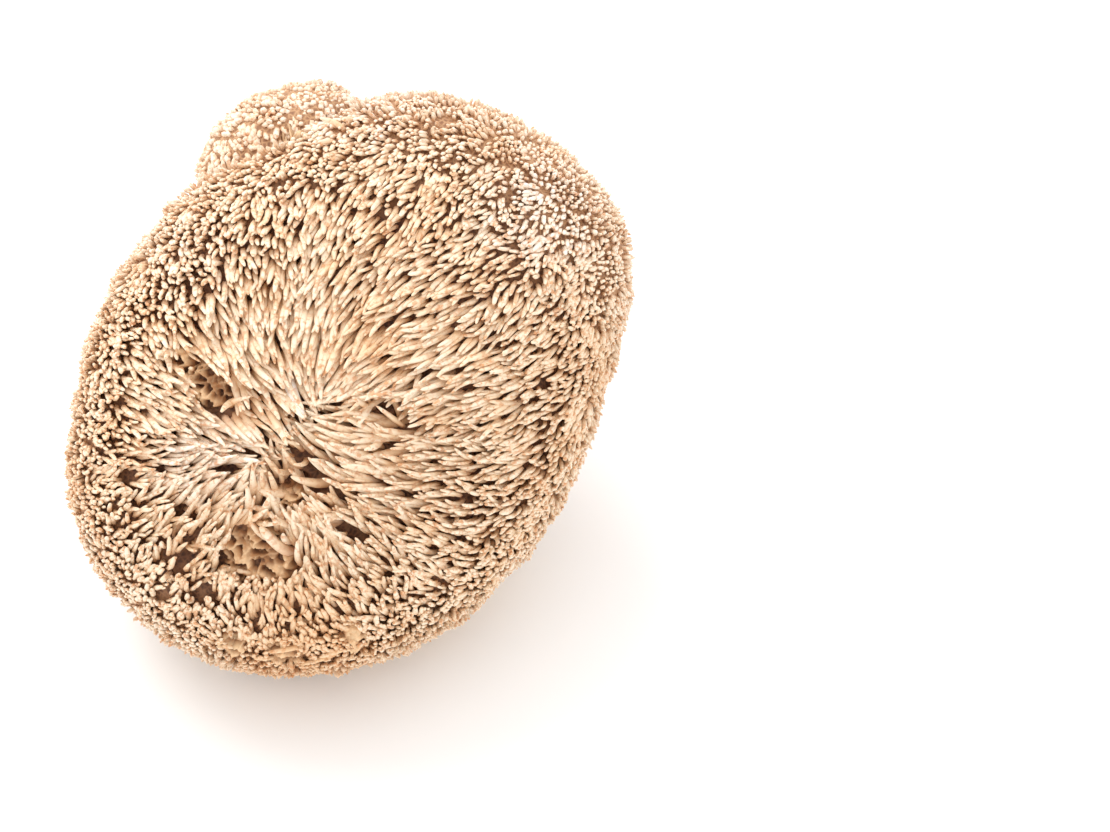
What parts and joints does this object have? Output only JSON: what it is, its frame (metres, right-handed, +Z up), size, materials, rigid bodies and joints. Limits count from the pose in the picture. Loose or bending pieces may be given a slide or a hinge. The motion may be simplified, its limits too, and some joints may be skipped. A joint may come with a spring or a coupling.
{
  "type": "lions mane mushroom",
  "caption": "Dried lion's mane mushroom: an oval ball of cream spines combed to a seam on its face, with a small side lobe, resting on its flat cut foot.",
  "frame": {"origin": "centre of the flat cut that the mushroom rests on", "axes": "+Z up from the surface it rests on, -Y the side that the spiny face looks to, +X to the right as seen from the face"},
  "size_m": [0.0928, 0.0894, 0.0816],
  "materials": {
    "dried_flesh": "dry, matt and fibrous"
  },
  "bodies": {
    "root": {"fruiting_body": "dried_flesh"}
  },
  "joints": []
}
